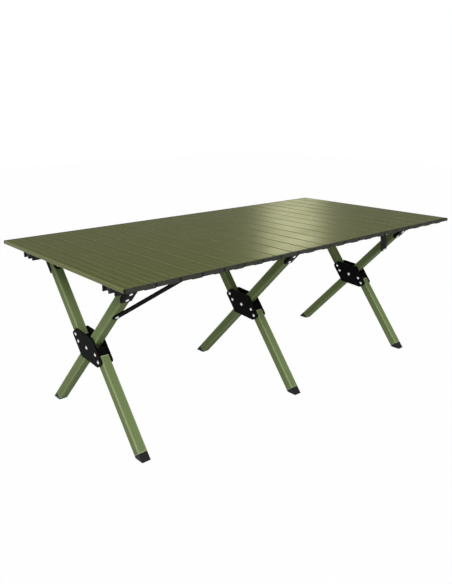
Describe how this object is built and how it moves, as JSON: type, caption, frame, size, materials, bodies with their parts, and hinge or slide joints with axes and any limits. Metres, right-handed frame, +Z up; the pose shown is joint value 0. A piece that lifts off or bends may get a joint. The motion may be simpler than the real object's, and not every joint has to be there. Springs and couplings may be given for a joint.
{
  "type": "roll top camp table",
  "caption": "Low camp table with a roll-up top of hinged aluminium slats on three folding X-frames, joined by folding rails with braces.",
  "frame": {"origin": "on the floor under the middle of the table", "axes": "+X along the table's length, +Y across it towards the back, +Z up"},
  "size_m": [1.2, 0.6, 0.45],
  "materials": {
    "slat_aluminium": "satin olive powder coat, dark grey moulded end caps",
    "leg_aluminium": "satin green powder coat",
    "rail_aluminium": "black anodised",
    "brace_steel": "satin black paint",
    "black_nylon": "moulded black nylon, bright rivets"
  },
  "bodies": {
    "slat_01": {"slat_01": "slat_aluminium"},
    "slat_02": {"slat_02": "slat_aluminium"},
    "slat_03": {"slat_03": "slat_aluminium"},
    "slat_04": {"slat_04": "slat_aluminium"},
    "slat_05": {"slat_05": "slat_aluminium"},
    "slat_06": {"slat_06": "slat_aluminium"},
    "slat_07": {"slat_07": "slat_aluminium"},
    "slat_08": {"slat_08": "slat_aluminium"},
    "slat_09": {"slat_09": "slat_aluminium"},
    "slat_10": {"slat_10": "slat_aluminium"},
    "slat_11": {"slat_11": "slat_aluminium"},
    "slat_12": {"slat_12": "slat_aluminium"},
    "slat_13": {"slat_13": "slat_aluminium"},
    "slat_14": {"slat_14": "slat_aluminium"},
    "slat_15": {"slat_15": "slat_aluminium"},
    "slat_16": {"slat_16": "slat_aluminium"},
    "slat_17": {"slat_17": "slat_aluminium"},
    "slat_18": {"slat_18": "slat_aluminium"},
    "slat_19": {"slat_19": "slat_aluminium"},
    "slat_20": {"slat_20": "slat_aluminium"},
    "front_leg_left": {"front_leg_left": "leg_aluminium", "front_leg_foot_left": "black_nylon", "front_bracket_left": "black_nylon"},
    "back_leg_left": {"back_leg_upper_left": "leg_aluminium", "back_leg_lower_left": "leg_aluminium", "back_leg_foot_left": "black_nylon", "back_bracket_left": "black_nylon", "pivot_plates_left": "black_nylon"},
    "front_leg_middle": {"front_leg_middle": "leg_aluminium", "front_leg_foot_middle": "black_nylon", "front_bracket_middle": "black_nylon"},
    "back_leg_middle": {"back_leg_upper_middle": "leg_aluminium", "back_leg_lower_middle": "leg_aluminium", "back_leg_foot_middle": "black_nylon", "back_bracket_middle": "black_nylon", "pivot_plates_middle": "black_nylon"},
    "front_leg_right": {"front_leg_right": "leg_aluminium", "front_leg_foot_right": "black_nylon", "front_bracket_right": "black_nylon"},
    "back_leg_right": {"back_leg_upper_right": "leg_aluminium", "back_leg_lower_right": "leg_aluminium", "back_leg_foot_right": "black_nylon", "back_bracket_right": "black_nylon", "pivot_plates_right": "black_nylon"},
    "front_rail_outer_left": {"front_rail_outer_left": "rail_aluminium"},
    "front_rail_inner_left": {"front_rail_inner_left": "rail_aluminium"},
    "front_brace_left": {"front_brace_left": "brace_steel"},
    "front_block_left": {"front_block_left": "black_nylon"},
    "front_rail_outer_right": {"front_rail_outer_right": "rail_aluminium"},
    "front_rail_inner_right": {"front_rail_inner_right": "rail_aluminium"},
    "front_brace_right": {"front_brace_right": "brace_steel"},
    "front_block_right": {"front_block_right": "black_nylon"},
    "back_rail_outer_left": {"back_rail_outer_left": "rail_aluminium"},
    "back_rail_inner_left": {"back_rail_inner_left": "rail_aluminium"},
    "back_block_left": {"back_block_left": "black_nylon"},
    "back_rail_outer_right": {"back_rail_outer_right": "rail_aluminium"},
    "back_rail_inner_right": {"back_rail_inner_right": "rail_aluminium"},
    "back_block_right": {"back_block_right": "black_nylon"}
  },
  "joints": [
    {"name": "top_lift", "type": "slide", "parent": "front_block_left", "child": "slat_01", "axis": [0, 0, 1], "range_m": [0, 0.25]},
    {"name": "roll_02", "type": "hinge", "parent": "slat_01", "child": "slat_02", "pos_m": [-0.5409, 0, 0.4465], "axis": [0, -1, 0], "range_deg": [0, 25]},
    {"name": "roll_03", "type": "hinge", "parent": "slat_02", "child": "slat_03", "pos_m": [-0.4808, 0, 0.4465], "axis": [0, -1, 0], "range_deg": [0, 25.83]},
    {"name": "roll_04", "type": "hinge", "parent": "slat_03", "child": "slat_04", "pos_m": [-0.4207, 0, 0.4465], "axis": [0, -1, 0], "range_deg": [0, 26.67]},
    {"name": "roll_05", "type": "hinge", "parent": "slat_04", "child": "slat_05", "pos_m": [-0.3606, 0, 0.4465], "axis": [0, -1, 0], "range_deg": [0, 27.5]},
    {"name": "roll_06", "type": "hinge", "parent": "slat_05", "child": "slat_06", "pos_m": [-0.3005, 0, 0.4465], "axis": [0, -1, 0], "range_deg": [0, 28.33]},
    {"name": "roll_07", "type": "hinge", "parent": "slat_06", "child": "slat_07", "pos_m": [-0.2404, 0, 0.4465], "axis": [0, -1, 0], "range_deg": [0, 29.17]},
    {"name": "roll_08", "type": "hinge", "parent": "slat_07", "child": "slat_08", "pos_m": [-0.1803, 0, 0.4465], "axis": [0, -1, 0], "range_deg": [0, 30]},
    {"name": "roll_09", "type": "hinge", "parent": "slat_08", "child": "slat_09", "pos_m": [-0.1202, 0, 0.4465], "axis": [0, -1, 0], "range_deg": [0, 30.83]},
    {"name": "roll_10", "type": "hinge", "parent": "slat_09", "child": "slat_10", "pos_m": [-0.0601, 0, 0.4465], "axis": [0, -1, 0], "range_deg": [0, 31.67]},
    {"name": "roll_11", "type": "hinge", "parent": "slat_10", "child": "slat_11", "pos_m": [0, 0, 0.4465], "axis": [0, -1, 0], "range_deg": [0, 32.5]},
    {"name": "roll_12", "type": "hinge", "parent": "slat_11", "child": "slat_12", "pos_m": [0.0601, 0, 0.4465], "axis": [0, -1, 0], "range_deg": [0, 33.33]},
    {"name": "roll_13", "type": "hinge", "parent": "slat_12", "child": "slat_13", "pos_m": [0.1202, 0, 0.4465], "axis": [0, -1, 0], "range_deg": [0, 34.17]},
    {"name": "roll_14", "type": "hinge", "parent": "slat_13", "child": "slat_14", "pos_m": [0.1803, 0, 0.4465], "axis": [0, -1, 0], "range_deg": [0, 35]},
    {"name": "roll_15", "type": "hinge", "parent": "slat_14", "child": "slat_15", "pos_m": [0.2404, 0, 0.4465], "axis": [0, -1, 0], "range_deg": [0, 35.83]},
    {"name": "roll_16", "type": "hinge", "parent": "slat_15", "child": "slat_16", "pos_m": [0.3005, 0, 0.4465], "axis": [0, -1, 0], "range_deg": [0, 36.67]},
    {"name": "roll_17", "type": "hinge", "parent": "slat_16", "child": "slat_17", "pos_m": [0.3606, 0, 0.4465], "axis": [0, -1, 0], "range_deg": [0, 37.5]},
    {"name": "roll_18", "type": "hinge", "parent": "slat_17", "child": "slat_18", "pos_m": [0.4207, 0, 0.4465], "axis": [0, -1, 0], "range_deg": [0, 38.33]},
    {"name": "roll_19", "type": "hinge", "parent": "slat_18", "child": "slat_19", "pos_m": [0.4808, 0, 0.4465], "axis": [0, -1, 0], "range_deg": [0, 39.17]},
    {"name": "roll_20", "type": "hinge", "parent": "slat_19", "child": "slat_20", "pos_m": [0.5409, 0, 0.4465], "axis": [0, -1, 0], "range_deg": [0, 40]},
    {"name": "frame_fold", "type": "hinge", "parent": "front_block_left", "child": "front_leg_left", "pos_m": [-0.52, -0.2, 0.4275], "axis": [-1, 0, 0], "range_deg": [0, 37.5]},
    {"name": "leg_pivot_left", "type": "hinge", "parent": "front_leg_left", "child": "back_leg_left", "pos_m": [-0.52, 0, 0.2195], "axis": [1, 0, 0], "range_deg": [0, 75.01]},
    {"name": "leg_pivot_middle", "type": "hinge", "parent": "front_leg_middle", "child": "back_leg_middle", "pos_m": [0, 0, 0.2195], "axis": [1, 0, 0], "range_deg": [0, 75.01]},
    {"name": "leg_pivot_right", "type": "hinge", "parent": "front_leg_right", "child": "back_leg_right", "pos_m": [0.52, 0, 0.2195], "axis": [1, 0, 0], "range_deg": [0, 75.01]},
    {"name": "block_turn_back_left", "type": "hinge", "parent": "back_leg_left", "child": "back_block_left", "pos_m": [-0.52, 0.2, 0.4275], "axis": [-1, 0, 0], "range_deg": [0, 37.51]},
    {"name": "block_turn_front_right", "type": "hinge", "parent": "front_leg_right", "child": "front_block_right", "pos_m": [0.52, -0.2, 0.4275], "axis": [1, 0, 0], "range_deg": [0, 37.51]},
    {"name": "block_turn_back_right", "type": "hinge", "parent": "back_leg_right", "child": "back_block_right", "pos_m": [0.52, 0.2, 0.4275], "axis": [-1, 0, 0], "range_deg": [0, 37.51]},
    {"name": "rail_fold", "type": "hinge", "parent": "front_leg_left", "child": "front_rail_outer_left", "pos_m": [-0.494, -0.2, 0.4275], "axis": [0, 0.7208, 0.6931], "range_deg": [0, 84]},
    {"name": "rail_mid_front_left", "type": "hinge", "parent": "front_rail_outer_left", "child": "front_rail_inner_left", "pos_m": [-0.26, -0.2, 0.4275], "axis": [0, -0.7208, -0.6931], "range_deg": [0, 168.01]},
    {"name": "rail_end_middle", "type": "hinge", "parent": "front_rail_inner_left", "child": "front_leg_middle", "pos_m": [-0.026, -0.2, 0.4275], "axis": [0, 0.7208, 0.6931], "range_deg": [0, 84.01]},
    {"name": "rail_start_middle", "type": "hinge", "parent": "front_leg_middle", "child": "front_rail_inner_right", "pos_m": [0.026, -0.2, 0.4275], "axis": [0, 0.7208, 0.6931], "range_deg": [0, 84.01]},
    {"name": "rail_mid_front_right", "type": "hinge", "parent": "front_rail_inner_right", "child": "front_rail_outer_right", "pos_m": [0.26, -0.2, 0.4275], "axis": [0, -0.7208, -0.6931], "range_deg": [0, 168.01]},
    {"name": "rail_end_right", "type": "hinge", "parent": "front_rail_outer_right", "child": "front_leg_right", "pos_m": [0.494, -0.2, 0.4275], "axis": [0, 0.7208, 0.6931], "range_deg": [0, 84.01]},
    {"name": "back_rail_fold_left", "type": "hinge", "parent": "back_leg_left", "child": "back_rail_outer_left", "pos_m": [-0.494, 0.2, 0.4275], "axis": [0, 0.7868, -0.6172], "range_deg": [0, 84.01]},
    {"name": "rail_mid_back_left", "type": "hinge", "parent": "back_rail_outer_left", "child": "back_rail_inner_left", "pos_m": [-0.26, 0.2, 0.4275], "axis": [0, -0.7868, 0.6172], "range_deg": [0, 168.01]},
    {"name": "back_rail_fold_middle", "type": "hinge", "parent": "back_leg_middle", "child": "back_rail_inner_right", "pos_m": [0.026, 0.2, 0.4275], "axis": [0, 0.7868, -0.6172], "range_deg": [0, 84.01]},
    {"name": "rail_mid_back_right", "type": "hinge", "parent": "back_rail_inner_right", "child": "back_rail_outer_right", "pos_m": [0.26, 0.2, 0.4275], "axis": [0, -0.7868, 0.6172], "range_deg": [0, 168.01]},
    {"name": "brace_swing_front_left", "type": "hinge", "parent": "front_leg_left", "child": "front_brace_left", "pos_m": [-0.52, -0.11544, 0.33956], "axis": [0, 0.7208, 0.6931], "range_deg": [0, 111.71]},
    {"name": "brace_swing_front_right", "type": "hinge", "parent": "front_leg_right", "child": "front_brace_right", "pos_m": [0.52, -0.11544, 0.33956], "axis": [0, -0.7208, -0.6931], "range_deg": [0, 111.71]}
  ],
  "couplings": [
    {"joint": "leg_pivot_left", "follows": "frame_fold", "ratio": 2},
    {"joint": "leg_pivot_middle", "follows": "frame_fold", "ratio": 2},
    {"joint": "leg_pivot_right", "follows": "frame_fold", "ratio": 2},
    {"joint": "block_turn_back_left", "follows": "frame_fold", "ratio": 1},
    {"joint": "block_turn_front_right", "follows": "frame_fold", "ratio": 1},
    {"joint": "block_turn_back_right", "follows": "frame_fold", "ratio": 1},
    {"joint": "rail_mid_front_left", "follows": "rail_fold", "ratio": 2},
    {"joint": "rail_end_middle", "follows": "rail_fold", "ratio": 1},
    {"joint": "rail_start_middle", "follows": "rail_fold", "ratio": 1},
    {"joint": "rail_mid_front_right", "follows": "rail_fold", "ratio": 2},
    {"joint": "rail_end_right", "follows": "rail_fold", "ratio": 1},
    {"joint": "back_rail_fold_left", "follows": "rail_fold", "ratio": 1},
    {"joint": "rail_mid_back_left", "follows": "rail_fold", "ratio": 2},
    {"joint": "back_rail_fold_middle", "follows": "rail_fold", "ratio": 1},
    {"joint": "rail_mid_back_right", "follows": "rail_fold", "ratio": 2},
    {"joint": "brace_swing_front_left", "follows": "rail_fold", "ratio": 1.3298},
    {"joint": "brace_swing_front_right", "follows": "rail_fold", "ratio": 1.3298}
  ]
}
